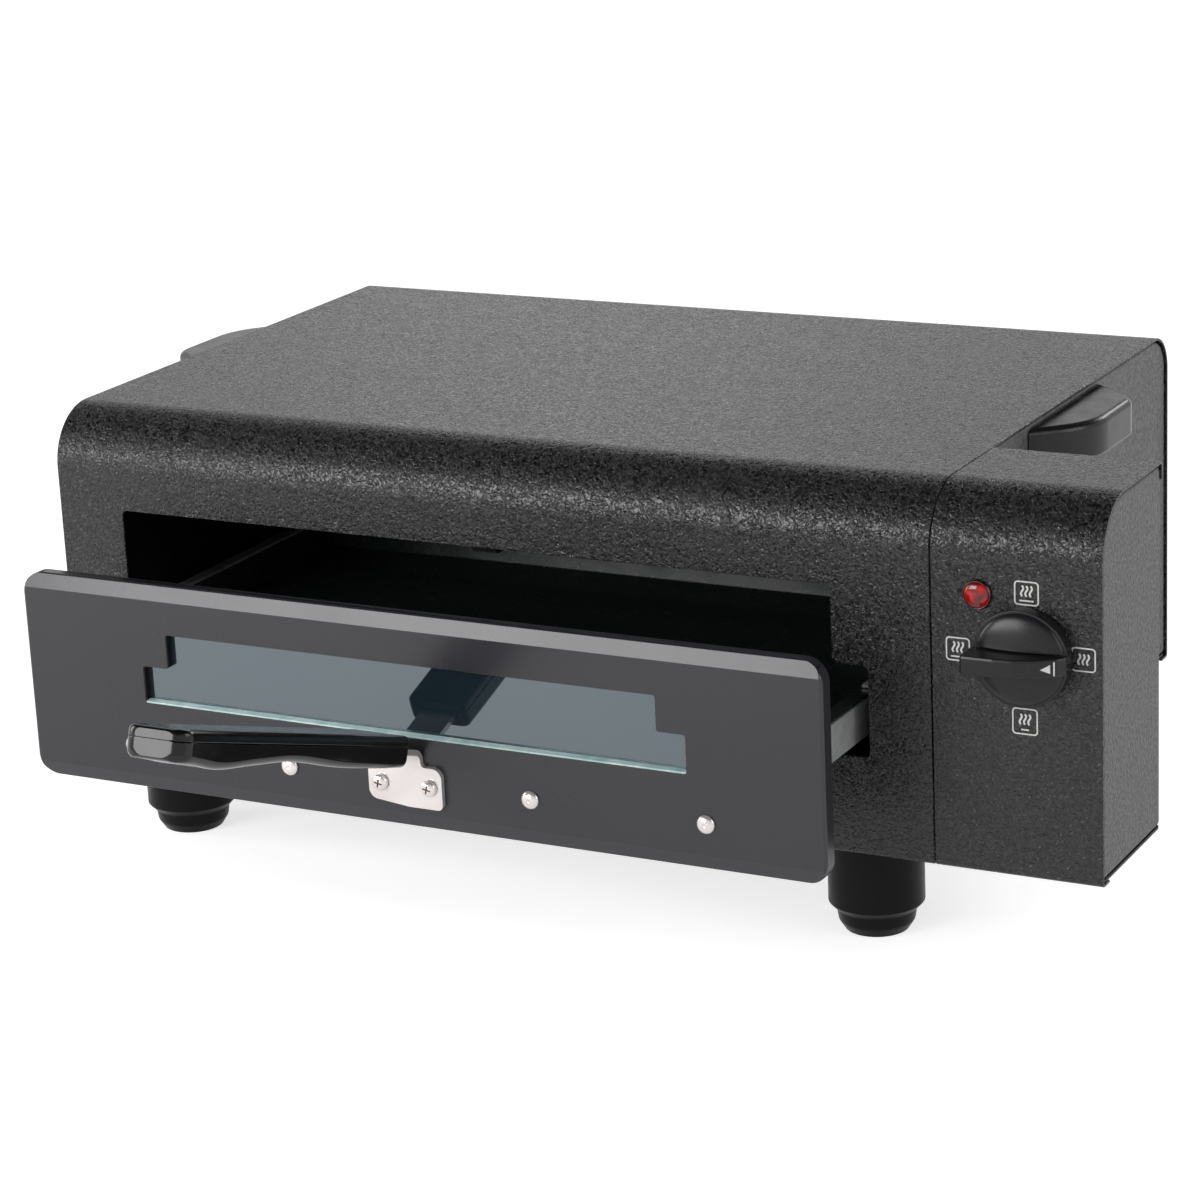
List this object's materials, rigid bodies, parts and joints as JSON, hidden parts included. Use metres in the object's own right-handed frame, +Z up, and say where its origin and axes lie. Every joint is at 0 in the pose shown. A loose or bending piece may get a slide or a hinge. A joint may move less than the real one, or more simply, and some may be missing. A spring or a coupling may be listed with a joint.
{
  "type": "electric tandoor oven",
  "caption": "Low benchtop electric tandoor: a sheet-steel oven on feet, with a windowed front drawer that slides out on a long handle, and a side control box.",
  "frame": {"origin": "on the ground below the middle of the part's bounding box, with the drawer 46 mm open as in the picture", "axes": "+X along the front towards the control box, +Y from the front to the back, +Z up"},
  "size_m": [0.539, 0.5444, 0.21],
  "materials": {
    "powder_coat": "textured black powder coat",
    "side_paint": "satin black paint",
    "satin_paint": "satin dark paint",
    "dark_steel": "heat-darkened steel",
    "tray_enamel": "smooth dark enamel",
    "zinc_steel": "zinc-plated steel",
    "polished_steel": "polished steel",
    "element_steel": "oxidised element sheath",
    "bakelite": "glossy black moulding",
    "feet_plastic": "satin black moulding",
    "window_glass": "clear tempered glass",
    "pin_brass": "plain brass",
    "ceramic": "unglazed steatite",
    "mineral_wool": "compressed mineral wool",
    "red_lens": "clear red lens",
    "wire_cover": "silicone insulation"
  },
  "bodies": {
    "oven": {"casing_wrap": "powder_coat", "side_panel_left": "side_paint", "side_panel_right": "side_paint", "base_plate": "dark_steel", "foot_front_left": "feet_plastic", "foot_front_right": "feet_plastic", "foot_rear_left": "feet_plastic", "foot_rear_right": "feet_plastic", "carry_handle_right": "bakelite", "carry_handle_left": "bakelite", "oven_chamber": "dark_steel", "insulation_blanket": "mineral_wool", "upper_heating_element": "element_steel", "upper_element_saddle": "dark_steel", "upper_element_bush_1": "ceramic", "upper_element_bush_2": "ceramic", "lower_heating_element": "element_steel", "lower_element_saddle": "dark_steel", "lower_element_bush_1": "ceramic", "lower_element_bush_2": "ceramic", "drawer_guide_left": "zinc_steel", "drawer_guide_right": "zinc_steel", "control_wrap": "powder_coat", "control_side_panel": "side_paint", "control_rear_cover": "side_paint", "control_base": "dark_steel", "selector_switch": "ceramic", "lamp_bezel": "polished_steel", "lamp_lens": "red_lens", "lamp_body": "ceramic", "mains_inlet": "feet_plastic", "inlet_pin_line": "pin_brass", "inlet_pin_neutral": "pin_brass", "inlet_pin_earth": "pin_brass", "terminal_block": "ceramic", "wire_upper_element": "wire_cover", "wire_lower_element": "wire_cover", "wire_line": "wire_cover", "wire_neutral": "wire_cover"},
    "drawer": {"drawer_front": "satin_paint", "window_glass": "window_glass", "glass_retainer": "dark_steel", "drawer_cross_bar": "zinc_steel", "drawer_rail_left": "zinc_steel", "drawer_rail_right": "zinc_steel", "drawer_rear_bar": "zinc_steel", "drip_tray": "tray_enamel", "front_rivet_1": "polished_steel", "front_rivet_2": "polished_steel", "front_rivet_3": "polished_steel", "front_rivet_4": "polished_steel", "bracket_screw_1": "polished_steel", "bracket_screw_2": "polished_steel", "handle_bracket": "polished_steel", "handle_grip_upper": "bakelite", "handle_grip_lower": "bakelite"},
    "selector": {"selector_knob": "bakelite", "selector_shaft": "zinc_steel"}
  },
  "joints": [
    {"name": "drawer_slide", "type": "slide", "parent": "oven", "child": "drawer", "axis": [0, -1, 0], "range_m": [-0.046, 0.1]},
    {"name": "selector_turn", "type": "hinge", "parent": "oven", "child": "selector", "pos_m": [0.236, -0.0298, 0.1433], "axis": [0, 1, 0], "range_deg": [-90, 180]}
  ]
}
